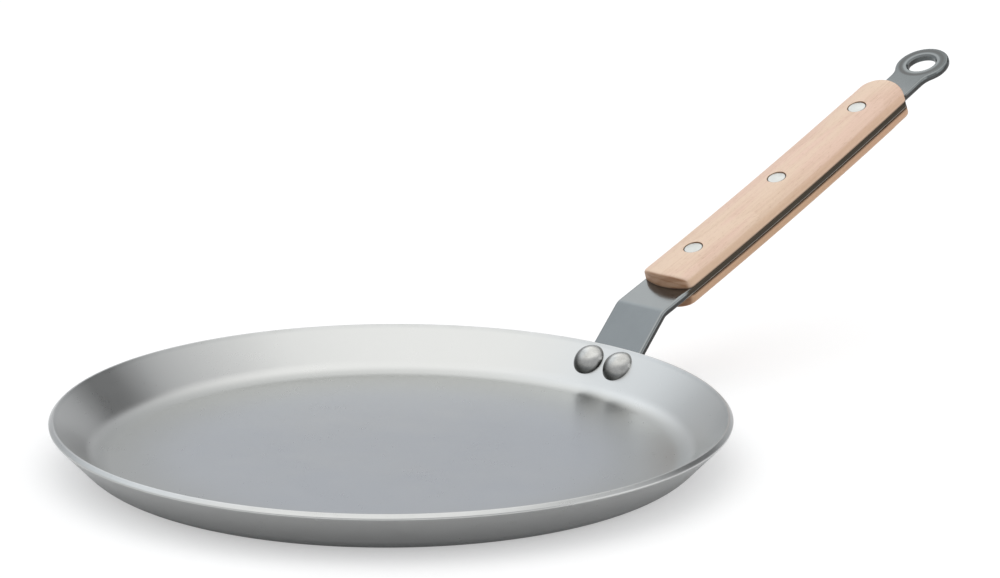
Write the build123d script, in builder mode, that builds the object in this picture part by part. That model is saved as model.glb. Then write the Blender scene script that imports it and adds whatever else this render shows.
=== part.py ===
from build123d import *
import os
from math import cos, degrees, radians, sin, tan

# Flat crepe pan: a pressed steel dish, a riveted strip handle with two wooden grip scales and a
# round hanging eye. Millimetres, +Z up. The origin is the middle of the base, where it rests on
# the table, and the handle runs along +X.

# Pan body: one pressed sheet
rim_diameter = 240.0  # outside, across the rim
sheet = 2.5  # steel thickness
body_height = 17.2  # table to the top of the rim
wall_angle = 46.0  # slope of the wall above the table, degrees
base_bend = 15.2  # outer radius where the base turns up into the wall
rim_break = 0.35  # chamfer on the two corners of the cut rim

# Handle bar: one flat steel bar, followed along its upper face
bar_thickness = 3.0
front_width = 22.9  # across the bar at the corner of its bend
rear_width = 21.0  # across the bar at the rear end of the scales
flange_length = 13.8  # how far the bar reaches down the outside of the wall
flange_corner = 4.0  # rounding of the flange's lower corners
pad_setback = 0.8  # the pad ends this far below the rim
riser_length = 19.2  # from the rim up to the corner of the bend
riser_bend = 6.4  # radius of the upper face in the bend
grip_angle = 19.2  # slope of the grip just behind the bend, degrees
grip_bow = 2560.0  # radius of the slight upward sweep of the grip
bar_edge = 1.1  # rounding of the bar's long edges

# Neck and hanging eye
neck_width = 15.0
neck_length = 20.2  # rear end of the scales to the middle of the eye
shoulder_blend = 3.0  # hollow curve between the scales' end and the neck
eye_blend = 9.0  # hollow curve between the neck and the eye
eye_diameter = 21.4
eye_bore = 11.0
eye_bevel = 0.6  # bevel round both ends of the eye's bore

# Grip scales: two wooden scales of one outline, crowned away from the bar
scale_setback = 13.9  # corner of the bend to the front end of the scales
scale_length = 145.2
scale_thickness = 5.7  # at the crown
crown_foot = 2.2  # height above the bar where the crown's curve starts
crown_overhang = 0.3  # how far beyond the side the curve starts
front_bulge = 2.9  # how far the front end curves out
rear_bulge = 5.2  # how far the rear end curves out
scale_corner = 3.0  # rounding where the ends meet the sides
scale_bevel = 0.4  # bevel on the crown's edge, all the way round
rear_ease = 3.0  # further rounding of the crown at the rear end
rear_ease_overhang = 0.3  # how far that rounding reaches past the rear end
rear_ease_drop = 0.1  # how far it starts below the crown

# Pan rivets: two, side by side, through wall and flange
pan_rivet_pitch = 14.1
pan_rivet_drop = 7.7  # rim to the rivets' middle, down the slope of the wall
pan_rivet_shank = 5.0
pan_rivet_head = 12.4  # domed head inside the pan
pan_rivet_crown = 3.9
formed_head = 8.0  # lower head, set against the flange, with a wide bevel round its flat end
formed_height = 2.4
formed_bevel = 1.5

# Grip rivets: three, each a pin pressed into a sleeve, with flat heads in shallow recesses
grip_rivet_count = 3
first_grip_rivet = 20.1  # front end of the scales to the first rivet
last_grip_rivet = 21.1  # last rivet to the rear end of the scales
grip_rivet_head = 7.2
grip_rivet_head_depth = 1.4
grip_rivet_recess = 0.35  # head below the crown
grip_rivet_bevel = 0.25  # bevel on the heads' edges
sleeve_diameter = 4.8
sleeve_floor = 0.8  # steel left between the sleeve's bore and its head
pin_diameter = 2.8
rivet_gap = 0.4  # left free at the end of the sleeve and at the end of the pin
head_clearance = 0.2  # round each head
sleeve_clearance = 0.1  # round each sleeve, in wood and steel

overrun = 30.0  # how far a cutting or trimming shape reaches past what it cuts
loft_margin = 6.0  # how far the crown is made past the ends of a scale
left, right = 1, -1
above, below = 1, -1
half_turn = 180
quarter_turn = 90

# Places that follow from the sizes above: first value outward, second value up
slope = radians(wall_angle)
up_wall = Vector(cos(slope), sin(slope))
wall_normal = Vector(-sin(slope), cos(slope))
rim_radius = rim_diameter / 2 + rim_break * min(sin(slope), cos(slope))
rim_corner = Vector(rim_radius, body_height + rim_break * min(sin(slope), cos(slope)) - sheet * cos(slope))
into_wall = sheet / 2  # what seats on the round wall is made this far into it and cut to it
wall_bulge = (pan_rivet_pitch / 2) ** 2 * sin(slope) / rim_diameter  # round wall above flat at a rivet
base_radius = rim_radius - (rim_corner.Y - base_bend) / tan(slope) - base_bend / sin(slope)

bend_turn = slope - radians(grip_angle)
bend_reach = riser_bend * tan(bend_turn / 2)
bend_corner = rim_corner + up_wall * riser_length
bow_start = bend_corner + Vector(cos(radians(grip_angle)), sin(radians(grip_angle))) * bend_reach
bow_centre = bow_start + Vector(-sin(radians(grip_angle)), cos(radians(grip_angle))) * grip_bow

scale_middle = scale_setback + scale_length / 2
scale_rear = scale_setback + scale_length
eye_run = scale_rear + neck_length
grip_rivet_pitch = (scale_length - first_grip_rivet - last_grip_rivet) / (grip_rivet_count - 1)
rivet_runs = [scale_setback + first_grip_rivet + k * grip_rivet_pitch for k in range(grip_rivet_count)]
head_seat = scale_thickness - grip_rivet_recess - grip_rivet_head_depth  # wood under a rivet's head
rivet_grip = bar_thickness + 2 * head_seat  # from head to head


def half_width(run):
    """Half the width of bar and scales, at a distance along the grip from the bend's corner."""
    return (front_width + (rear_width - front_width) * run / scale_rear) / 2


def grip_plane(run):
    """The plane on the bar's upper face at that distance: X points to the eye and Y to the left."""
    angle = radians(grip_angle) + (run - bend_reach) / grip_bow
    place = bow_centre + Vector(sin(angle), -cos(angle)) * grip_bow
    along, away = (cos(angle), 0, sin(angle)), (-sin(angle), 0, cos(angle))
    return Plane((place.X, 0, place.Y), x_dir=along, z_dir=away)


def section_plane(run):
    """The plane across the grip at that distance: X points left and Y away from the bar's face."""
    face = grip_plane(run)
    return Plane(face.origin, x_dir=face.y_dir, z_dir=face.x_dir)


def pan_rivet_plane(side):
    """The plane on the flange's upper face at a pan rivet, facing into the pan."""
    middle = rim_corner - up_wall * pan_rivet_drop
    origin = (middle.X, side * pan_rivet_pitch / 2, middle.Y)
    return Plane(origin, x_dir=(up_wall.X, 0, up_wall.Y), z_dir=(wall_normal.X, 0, wall_normal.Y))


def seat_height(side):
    """The height of the bar's upper or lower face above its upper face."""
    return 0 if side == above else -bar_thickness


def grip_rivet_plane(run, side):
    """The plane on the inner face of a grip rivet's head, facing away from the bar."""
    face = grip_plane(run).offset(seat_height(side) + side * head_seat)
    return Plane(face.origin, x_dir=face.x_dir, z_dir=face.z_dir * side)


def bar_side():
    """The bar seen from the side."""
    riser_top = bend_corner - up_wall * bend_reach
    flange_end = rim_corner - up_wall * flange_length
    through = wall_normal * bar_thickness
    bend_centre = riser_top - wall_normal * riser_bend
    inner_bend = riser_bend - bar_thickness
    bow_turn = degrees((eye_run + overrun) / grip_bow)
    with BuildSketch(Plane.XZ) as side:
        with BuildLine():
            Line(flange_end, riser_top)
            CenterArc(bend_centre, riser_bend, wall_angle + quarter_turn, -degrees(bend_turn))
            upper = CenterArc(bow_centre, grip_bow, grip_angle - quarter_turn, bow_turn)
            lower = CenterArc(bow_centre, grip_bow + bar_thickness, grip_angle - quarter_turn, bow_turn)
            Line(upper @ 1, lower @ 1)
            CenterArc(bend_centre, inner_bend, wall_angle + quarter_turn, -degrees(bend_turn))
            Polyline(riser_top - through, flange_end - through, flange_end)
        make_face()
    return side.sketch


def pad_side():
    """The extra steel on the flange, seen from the side; it starts half way into the bar."""
    low = rim_corner - up_wall * flange_length
    high = rim_corner - up_wall * pad_setback
    down, up = wall_normal * bar_thickness / 2, wall_normal * into_wall
    with BuildSketch(Plane.XZ) as side:
        with BuildLine():
            Polyline(low - down, high - down, high + up, low + up, close=True)
        make_face()
    return side.sketch


def scale_outline():
    """The outline of a scale, seen square to the bar at the scales' middle, which is its origin."""
    front, rear = -scale_length / 2, scale_length / 2
    nose_end, tail_end = front + front_bulge, rear - rear_bulge
    nose_half, tail_half = half_width(scale_middle + nose_end), half_width(scale_middle + tail_end)
    with BuildSketch() as outline:
        with BuildLine():
            nose = ThreePointArc((nose_end, -nose_half), (front, 0), (nose_end, nose_half))
            tail = ThreePointArc((tail_end, tail_half), (rear, 0), (tail_end, -tail_half))
            Line(nose @ 1, tail @ 0)
            Line(tail @ 1, nose @ 0)
        make_face()
        fillet(outline.vertices(), radius=scale_corner)
    return outline.sketch_local


def bar_outline():
    """The outline of the bar from the same view, from below the flange to the eye."""
    front = -(scale_middle + riser_length + flange_length + overrun)
    rear = scale_length / 2 - rear_bulge - scale_corner * 2
    eye = scale_length / 2 + neck_length
    wide, narrow = half_width(scale_middle + front), half_width(scale_middle + rear)
    with BuildSketch() as outline:
        with BuildLine():
            Polyline((front, -wide), (rear, -narrow), (rear, narrow), (front, wide), close=True)
        make_face()
        add(scale_outline())
        with Locations(((rear + eye) / 2, 0)):
            Rectangle(eye - rear, neck_width)
        with Locations((eye, 0)):
            Circle(eye_diameter / 2)
        fillet(outline.vertices().sort_by(Axis.X)[-4:-2], radius=shoulder_blend)
        fillet(outline.vertices().sort_by(Axis.X)[-2:], radius=eye_blend)
    return outline.sketch_local


def cutter(plane, radius):
    """A round cutter on a plane, long enough to pass through the piece either way."""
    with BuildPart() as rod:
        with BuildSketch(plane):
            Circle(radius)
        extrude(amount=overrun, both=True)
    return rod.part


def rear_rounding(side):
    """The half ring that rounds a scale's crown at its rear end, about the middle of the end's arc."""
    tail_half = half_width(scale_rear - rear_bulge)
    tail_radius = (tail_half**2 + rear_bulge**2) / (2 * rear_bulge)
    seat = grip_plane(scale_rear).offset(seat_height(side))
    middle = seat.origin - seat.x_dir * tail_radius
    inner = tail_radius + rear_ease_overhang - rear_ease
    outer, far = inner + rear_ease, inner + rear_ease * 2
    top = side * (scale_thickness - rear_ease_drop)
    foot, clear = top - side * rear_ease, top + side * rear_ease
    with BuildPart() as ring:
        with BuildSketch(Plane(middle, x_dir=-seat.y_dir, z_dir=-seat.x_dir)):
            with BuildLine():
                RadiusArc((inner, top), (outer, foot), side * rear_ease)
                Polyline((outer, foot), (far, foot), (far, clear), (inner, clear), (inner, top))
            make_face()
        revolve(axis=Axis(middle, seat.z_dir), revolution_arc=half_turn)
    return ring.part


def grip_scale(side):
    """A wooden scale: a crown lofted along the grip, trimmed to its outline and to the bar."""
    seat = seat_height(side)
    foot, inside_bar = seat + side * crown_foot, seat - side * bar_thickness / 2
    with BuildPart() as scale:
        for run in (scale_setback - loft_margin, scale_middle, scale_rear + loft_margin):
            half = half_width(run) + crown_overhang
            with BuildSketch(section_plane(run)):
                with BuildLine():
                    crown = EllipticalCenterArc(
                        (0, foot), half, scale_thickness - crown_foot, arc_size=side * half_turn
                    )
                    Polyline(crown @ 1, (-half, inside_bar), (half, inside_bar), crown @ 0)
                make_face()
        loft()
        with BuildSketch(grip_plane(scale_middle)):
            add(scale_outline())
        extrude(amount=overrun, both=True, mode=Mode.INTERSECT)
        crown_face = scale.faces().sort_by(SortBy.AREA)[-1]
        chamfer(crown_face.edges(), length=scale_bevel)
        add(rear_rounding(side), mode=Mode.SUBTRACT)
        extrude(bar_side(), amount=overrun, both=True, mode=Mode.SUBTRACT)
        for run in rivet_runs:
            add(cutter(grip_plane(run), sleeve_diameter / 2 + sleeve_clearance), mode=Mode.SUBTRACT)
            with BuildSketch(grip_rivet_plane(run, side)):
                Circle(grip_rivet_head / 2 + head_clearance)
            extrude(amount=scale_thickness, mode=Mode.SUBTRACT)
    return scale


def pan_rivet(side):
    """A rivet through wall and flange: a large domed head inside and a smaller set head outside."""
    lower = pan_rivet_plane(side).offset(-bar_thickness)
    seat = pan_rivet_plane(side).offset(sheet + wall_bulge)
    head_radius = pan_rivet_head / 2
    dome_radius = (head_radius**2 + pan_rivet_crown**2) / (2 * pan_rivet_crown)
    with BuildPart() as rivet:
        with BuildSketch(Plane(seat.origin, x_dir=seat.x_dir, z_dir=-seat.y_dir)):
            with BuildLine():
                RadiusArc((0, pan_rivet_crown), (head_radius, 0), dome_radius)
                Polyline((head_radius, 0), (head_radius, -into_wall), (0, -into_wall), (0, pan_rivet_crown))
            make_face()
        revolve(axis=Axis(seat.origin, seat.z_dir))
        add(pan_body.part, mode=Mode.SUBTRACT)
        with BuildSketch(lower):
            Circle(pan_rivet_shank / 2)
        extrude(amount=bar_thickness + sheet)
        with BuildSketch(lower):
            Circle(formed_head / 2)
        extrude(amount=-formed_height)
        flat_end = rivet.faces().filter_by(GeomType.PLANE).sort_by(Axis(lower.origin, lower.z_dir))[0]
        chamfer(flat_end.edges(), length=formed_bevel)
    return rivet


def grip_rivet_pin(run):
    """The upper half of a grip rivet: a flat head and a pin that is pressed into the sleeve."""
    inner_face = grip_rivet_plane(run, above)
    with BuildPart() as pin:
        with BuildSketch(inner_face):
            Circle(grip_rivet_head / 2)
        extrude(amount=grip_rivet_head_depth)
        outer_face = pin.faces().filter_by(GeomType.PLANE).sort_by(Axis.Z)[-1]
        chamfer(outer_face.edges(), length=grip_rivet_bevel)
        with BuildSketch(inner_face):
            Circle(pin_diameter / 2)
        extrude(amount=sleeve_floor + rivet_gap - rivet_grip)
    return pin


def grip_rivet_sleeve(run):
    """The lower half of a grip rivet: a flat head and a sleeve that takes the pin."""
    inner_face = grip_rivet_plane(run, below)
    with BuildPart() as sleeve:
        with BuildSketch(inner_face):
            Circle(grip_rivet_head / 2)
        extrude(amount=grip_rivet_head_depth)
        outer_face = sleeve.faces().filter_by(GeomType.PLANE).sort_by(Axis.Z)[0]
        chamfer(outer_face.edges(), length=grip_rivet_bevel)
        with BuildSketch(inner_face):
            Circle(sleeve_diameter / 2)
        extrude(amount=rivet_gap - rivet_grip)
        with BuildSketch(inner_face.offset(-sleeve_floor)):
            Circle(pin_diameter / 2)
        extrude(amount=-rivet_grip, mode=Mode.SUBTRACT)
    return sleeve


# Pan body
with BuildPart() as pan_body:
    with BuildSketch(Plane.XZ) as sheet_section:
        with BuildLine():
            outer_bend = CenterArc((base_radius, base_bend), base_bend, -quarter_turn, wall_angle)
            inner_bend = CenterArc((base_radius, base_bend), base_bend - sheet, -quarter_turn, wall_angle)
            Polyline(outer_bend @ 1, rim_corner, rim_corner + wall_normal * sheet, inner_bend @ 1)
            Polyline(inner_bend @ 0, (0, sheet), (0, 0), outer_bend @ 0)
        make_face()
        chamfer(sheet_section.vertices().sort_by(Axis.X)[-2:], length=rim_break)
    revolve(axis=Axis.Z)
    for side in (left, right):
        add(cutter(pan_rivet_plane(side), pan_rivet_shank / 2), mode=Mode.SUBTRACT)
pan_body.part.label = "pan_body"

# Handle bar: rounded along its edges, with a pad on the flange that is cut to the round wall
with BuildPart() as flange_seat:
    extrude(pad_side(), amount=overrun, both=True)
    with BuildSketch(grip_plane(scale_middle)):
        add(bar_outline())
    extrude(amount=overrun, both=True, mode=Mode.INTERSECT)
    lower_end = flange_seat.faces().sort_by(Axis.Z)[0]
    fillet(lower_end.edges().filter_by(Axis.Y, reverse=True), radius=flange_corner)
with BuildPart() as handle_bar:
    extrude(bar_side(), amount=overrun, both=True)
    with BuildSketch(grip_plane(scale_middle)):
        add(bar_outline())
    extrude(amount=overrun, both=True, mode=Mode.INTERSECT)
    lower_end = handle_bar.faces().sort_by(Axis.Z)[0]
    fillet(lower_end.edges().filter_by(Axis.Y, reverse=True), radius=flange_corner)
    through_grip = Axis(grip_plane(scale_middle).origin, grip_plane(scale_middle).z_dir)
    through_flange = Axis(pan_rivet_plane(left).origin, pan_rivet_plane(left).z_dir)
    rims = handle_bar.edges()
    for direction in (Axis.Y, through_grip, through_flange):
        rims = rims.filter_by(direction, reverse=True)
    fillet(rims, radius=bar_edge)
    add(flange_seat.part)
    add(pan_body.part, mode=Mode.SUBTRACT)
    for side in (left, right):
        add(cutter(pan_rivet_plane(side), pan_rivet_shank / 2), mode=Mode.SUBTRACT)
    for run in rivet_runs:
        add(cutter(grip_plane(run), sleeve_diameter / 2 + sleeve_clearance), mode=Mode.SUBTRACT)
    add(cutter(grip_plane(eye_run), eye_bore / 2), mode=Mode.SUBTRACT)
    chamfer(handle_bar.edges(Select.NEW).filter_by(GeomType.LINE, reverse=True), length=eye_bevel)
handle_bar.part.label = "handle_bar"

# Grip scales
upper_scale = grip_scale(above)
upper_scale.part.label = "upper_scale"
lower_scale = grip_scale(below)
lower_scale.part.label = "lower_scale"

# Pan rivets
pan_rivet_left = pan_rivet(left)
pan_rivet_left.part.label = "pan_rivet_left"
pan_rivet_right = pan_rivet(right)
pan_rivet_right.part.label = "pan_rivet_right"

# Grip rivets
front_run, middle_run, rear_run = rivet_runs
grip_rivet_pin_front = grip_rivet_pin(front_run)
grip_rivet_pin_front.part.label = "grip_rivet_pin_front"
grip_rivet_pin_middle = grip_rivet_pin(middle_run)
grip_rivet_pin_middle.part.label = "grip_rivet_pin_middle"
grip_rivet_pin_rear = grip_rivet_pin(rear_run)
grip_rivet_pin_rear.part.label = "grip_rivet_pin_rear"
grip_rivet_sleeve_front = grip_rivet_sleeve(front_run)
grip_rivet_sleeve_front.part.label = "grip_rivet_sleeve_front"
grip_rivet_sleeve_middle = grip_rivet_sleeve(middle_run)
grip_rivet_sleeve_middle.part.label = "grip_rivet_sleeve_middle"
grip_rivet_sleeve_rear = grip_rivet_sleeve(rear_run)
grip_rivet_sleeve_rear.part.label = "grip_rivet_sleeve_rear"

# Files
os.makedirs("parts", exist_ok=True)
export_step(pan_body.part, "parts/pan_body.step")
export_step(handle_bar.part, "parts/handle_bar.step")
export_step(upper_scale.part, "parts/upper_scale.step")
export_step(lower_scale.part, "parts/lower_scale.step")
export_step(pan_rivet_left.part, "parts/pan_rivet_left.step")
export_step(pan_rivet_right.part, "parts/pan_rivet_right.step")
export_step(grip_rivet_pin_front.part, "parts/grip_rivet_pin_front.step")
export_step(grip_rivet_pin_middle.part, "parts/grip_rivet_pin_middle.step")
export_step(grip_rivet_pin_rear.part, "parts/grip_rivet_pin_rear.step")
export_step(grip_rivet_sleeve_front.part, "parts/grip_rivet_sleeve_front.step")
export_step(grip_rivet_sleeve_middle.part, "parts/grip_rivet_sleeve_middle.step")
export_step(grip_rivet_sleeve_rear.part, "parts/grip_rivet_sleeve_rear.step")
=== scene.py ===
"""A crepe pan's looks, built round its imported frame. Metres, +Z up, the handle runs along +X."""

from math import atan2, cos, pi, radians, sin, sqrt, tan

import bmesh
import bpy
from bpy.props import FloatProperty, FloatVectorProperty, IntProperty, PointerProperty
from mathutils import Matrix, Vector


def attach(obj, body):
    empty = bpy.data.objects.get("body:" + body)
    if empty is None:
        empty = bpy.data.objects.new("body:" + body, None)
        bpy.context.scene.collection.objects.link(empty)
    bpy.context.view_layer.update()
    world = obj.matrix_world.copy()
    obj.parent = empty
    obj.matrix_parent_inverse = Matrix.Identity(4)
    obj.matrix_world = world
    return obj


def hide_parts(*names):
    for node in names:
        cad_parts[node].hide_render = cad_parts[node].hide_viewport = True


bl_info = {
    "name": "Crepe Pan",
    "version": (1, 0, 0),
    "blender": (4, 5, 0),
    "location": "View3D > Sidebar > Crepe Pan",
    "description": "Builds a flat steel crepe pan with a riveted strip handle and wooden grip scales",
    "category": "Object",
}

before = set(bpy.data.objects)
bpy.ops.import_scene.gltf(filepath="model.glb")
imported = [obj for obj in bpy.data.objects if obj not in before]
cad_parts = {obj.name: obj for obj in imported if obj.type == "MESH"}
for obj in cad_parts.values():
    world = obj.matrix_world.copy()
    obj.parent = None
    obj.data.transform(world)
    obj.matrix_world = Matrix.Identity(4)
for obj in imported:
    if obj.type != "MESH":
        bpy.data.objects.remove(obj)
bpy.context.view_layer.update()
BODY = "root"
MM = 0.001
UPPER, LOWER = 1, -1
SHARP_EDGE = radians(35)
DOME_SEGMENTS, FLAT_SEGMENTS = 96, 72
FLOOR_RADIUS, FLOOR_DROP = 9.0, 0.02 * MM


def length(name, description, default):
    """A length; its default is given in millimetres."""
    return FloatProperty(
        name=name, description=description, default=default * MM, min=0.0, unit="LENGTH", precision=5
    )


def angle(name, description, default):
    """An angle; its default is given in degrees."""
    return FloatProperty(name=name, description=description, default=radians(default), subtype="ANGLE")


def colour(name, description, default):
    """A colour, in linear values."""
    return FloatVectorProperty(
        name=name, description=description, default=default, size=3, min=0.0, max=1.0, subtype="COLOR"
    )


def level(name, description, default, **more):
    """A strength of light."""
    return FloatProperty(name=name, description=description, default=default, min=0.0, **more)


class PanSizes(bpy.types.PropertyGroup):
    """Sizes of the pressed dish and of the rivets in its wall."""

    rim_diameter: length("Rim Diameter", "Outside, across the rim", 240)
    sheet: length("Sheet", "Thickness of the steel sheet", 2.5)
    body_height: length("Body Height", "Table to the top of the rim", 17.2)
    wall_angle: angle("Wall Angle", "Slope of the wall above the table", 46)
    base_bend: length("Base Bend", "Outer radius where the base turns up into the wall", 15.2)
    rim_break: length("Rim Break", "Size of the bevel on the frame's rim", 0.35)
    rivet_pitch: length("Rivet Pitch", "Between the two rivets in the wall", 14.1)
    rivet_drop: length("Rivet Drop", "Rim to the rivets' middle, down the wall", 7.7)
    rivet_head: length("Rivet Head", "Diameter of the domed heads inside", 12.4)
    rivet_crown: length("Rivet Crown", "Height of the domed heads", 3.9)
    rivet_shank: length("Rivet Shank", "Diameter of the shanks", 5)
    set_head: length("Set Head", "Diameter of the heads outside", 8)
    set_height: length("Set Height", "Height of the heads outside", 2.4)
    set_bevel: length("Set Bevel", "Bevel of the heads outside", 1.5)
    segments: IntProperty(name="Segments", description="Flats round the dish", default=384, min=48, max=720)


class GripSizes(bpy.types.PropertyGroup):
    """Sizes of the handle bar's line, the wooden scales and their rivets."""

    bar_thickness: length("Bar Thickness", "Thickness of the strip", 3)
    front_width: length("Front Width", "Across the bar at its bend", 22.9)
    rear_width: length("Rear Width", "Across the bar at the rear end of the scales", 21)
    riser_length: length("Riser Length", "From the rim up to the corner of the bend", 19.2)
    riser_bend: length("Riser Bend", "Radius of the upper face in the bend", 6.4)
    grip_angle: angle("Grip Angle", "Slope of the grip just behind the bend", 19.2)
    grip_bow: length("Grip Bow", "Radius of the slight upward sweep", 2560)
    scale_setback: length("Scale Setback", "Corner of the bend to the scales", 13.9)
    scale_length: length("Scale Length", "Length of the wooden scales", 145.2)
    scale_thickness: length("Scale Thickness", "At the crown", 5.7)
    crown_foot: length("Crown Foot", "Height above the bar where the crown starts", 2.2)
    crown_overhang: length("Crown Overhang", "How far beyond the side the crown starts", 0.3)
    front_bulge: length("Front Bulge", "How far the front end curves out", 2.9)
    rear_bulge: length("Rear Bulge", "How far the rear end curves out", 5.2)
    scale_corner: length("Scale Corner", "Rounding where the ends meet the sides", 3)
    side_ease: length("Side Ease", "Sanded rounding along the sides and the front end", 1)
    rear_ease: length("Rear Ease", "Sanded rounding at the rear end", 3)
    first_rivet: length("First Rivet", "Front end of the scales to the first rivet", 20.1)
    last_rivet: length("Last Rivet", "Rear end of the scales to the last rivet", 21.1)
    rivet_count: IntProperty(
        name="Rivet Count", description="Rivets through the scales", default=3, min=2, max=6
    )
    rivet_head: length("Rivet Head", "Diameter of the flat heads", 7.2)
    rivet_recess: length("Rivet Recess", "How far the heads lie below the crown", 0.35)
    rivet_head_depth: length("Head Depth", "Thickness of the flat heads", 1.4)
    rivet_body: length("Rivet Body", "Diameter of the rivets between their heads", 4.8)
    rivet_edge: length("Rivet Edge", "Rounding of the heads' edges", 0.3)
    head_clearance: length("Head Clearance", "Gap round each head", 0.2)
    neck_length: length("Neck Length", "Rear end of the scales to the middle of the eye", 20.2)


class PanFinishes(bpy.types.PropertyGroup):
    """Colours of the materials."""

    steel: colour("Pan Steel", "Waxed bare steel of the dish", (0.57, 0.575, 0.565))
    steel_cool: colour("Pan Steel, Cooler", "Its bluish middle", (0.485, 0.508, 0.540))
    steel_edge: colour("Pan Steel, Floor Edge", "Its floor near the wall", (0.441, 0.450, 0.441))
    # painted shade: darkens the wall outside, most toward the table
    steel_outside_shade: colour("Pan Steel, Outside", "Dulls the wall outside", (0.10, 0.10, 0.11))
    # painted highlight: brightens the rim in patches
    steel_rim_highlight: colour("Pan Steel, Rubbed", "Brightens the rim", (0.80, 0.81, 0.82))
    bar: colour("Bar Steel", "Coated steel of the strip", (0.212, 0.226, 0.229))
    bar_rear: colour("Bar Steel, Rear", "The strip near the hanging eye", (0.100, 0.112, 0.114))
    bar_side: colour("Bar Sides", "The strip's sheared sides", (0.062, 0.062, 0.060))
    # painted highlight on the strip's rounded edges and on the lip round the eye; also the colour of its
    # light nicks
    bar_sheen_and_wear: colour("Bar Steel, Rubbed", "The strip's rubbed edges", (0.34, 0.36, 0.36))
    # painted shade on the strip's sides where the scales overhang them
    bar_side_shade: colour("Bar Sides, Oily", "Its sides between the scales", (0.052, 0.042, 0.030))
    # painted highlight: the light line low on the strip's sides between the scales
    bar_side_highlight: colour("Bar Sides, Line", "A light line low on those sides", (0.44, 0.41, 0.36))
    rivet: colour("Rivet Steel", "Domed rivets in the wall", (0.43, 0.43, 0.415))
    grip_rivet: colour("Grip Rivets", "Flat pale rivets in the wood", (0.60, 0.61, 0.585))
    wood: colour("Wood", "Light beech", (0.770, 0.582, 0.440))
    wood_blush: colour("Wood, Blush", "Its pinker stretches", (0.770, 0.550, 0.434))
    # painted shade on the wood's sideways faces
    wood_side_shade: colour("Wood Edges", "Sanded and handled sides", (0.66, 0.43, 0.27))
    wood_dark: colour("Wood Grain", "Darker late wood", (0.55, 0.355, 0.235))
    wood_end: colour("End Grain", "Cut ends of the wood", (0.33, 0.155, 0.075))
    # painted shade in the crease where the wood meets the bar
    wood_seam_shade: colour("Wood Seam", "Where the wood meets the bar", (0.10, 0.055, 0.030))
    floor: colour("Floor", "The table and backdrop", (0.86, 0.86, 0.86))
    floor_cloud: colour("Floor, Clouds", "Its faint unevenness", (0.8, 0.8, 0.81))
    floor_seen: colour("Floor, Seen", "What only the camera sees of it", (0.58, 0.58, 0.58))


class StageSettings(bpy.types.PropertyGroup):
    """Levels of the soft light."""

    horizon: level("Horizon", "Light from the sides", 0.62)
    canopy: level("Canopy", "Light from above", 1.28)
    lobe: level("Lobe", "More light from behind on the left", 0.34)
    gap: level("Gap", "How dim the gap in the tent is", 0.86, max=1.0)
    lamp_power: level("Lamp", "Overhead lamp", 1.2, unit="POWER")
    side_power: level("Side Lamp", "Lamp beside the handle", 0.9, unit="POWER")


# Places that follow from the sizes


class HandleLine:
    """The line of the handle: up the wall's slope, round the bend and along the bowed grip."""

    def __init__(self, scene):
        pan, grip = scene.crepe_pan, scene.crepe_pan_grip
        slope, self.angle, self.bow = pan.wall_angle, grip.grip_angle, grip.grip_bow
        self.corner_loss = pan.rim_break * min(sin(slope), cos(slope))
        self.up_wall = Vector((cos(slope), 0, sin(slope)))
        self.wall_normal = Vector((-sin(slope), 0, cos(slope)))
        rim_height = pan.body_height + self.corner_loss - pan.sheet * cos(slope)
        self.rim = Vector((pan.rim_diameter / 2 + self.corner_loss, 0, rim_height))
        self.reach = grip.riser_bend * tan((slope - self.angle) / 2)
        along = Vector((cos(self.angle), 0, sin(self.angle)))
        away = Vector((-sin(self.angle), 0, cos(self.angle)))
        self.bow_centre = self.rim + self.up_wall * grip.riser_length + along * self.reach + away * self.bow
        self.front = grip.scale_setback
        self.rear = grip.scale_setback + grip.scale_length
        self.widths = grip.front_width, grip.rear_width

    def turn(self, run):
        """The slope at a distance along the bar's upper face."""
        return self.angle + (run - self.reach) / self.bow

    def at(self, run, across=0.0, height=0.0):
        """The point at a distance along the bar's upper face, across it and above it."""
        turn = self.turn(run)
        place = self.bow_centre + Vector((sin(turn), 0, -cos(turn))) * (self.bow - height)
        return Vector((place.x, across, place.z))

    def half_width(self, run):
        """Half the width of bar and scales at a distance along the grip."""
        front, rear = self.widths
        return (front + (rear - front) * run / self.rear) / 2


def rivet_runs(grip):
    """Where the rivets stand along the grip."""
    first = grip.scale_setback + grip.first_rivet
    last = grip.scale_setback + grip.scale_length - grip.last_rivet
    return [first + (last - first) * k / (grip.rivet_count - 1) for k in range(grip.rivet_count)]


# Short ways to write node trees


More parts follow.
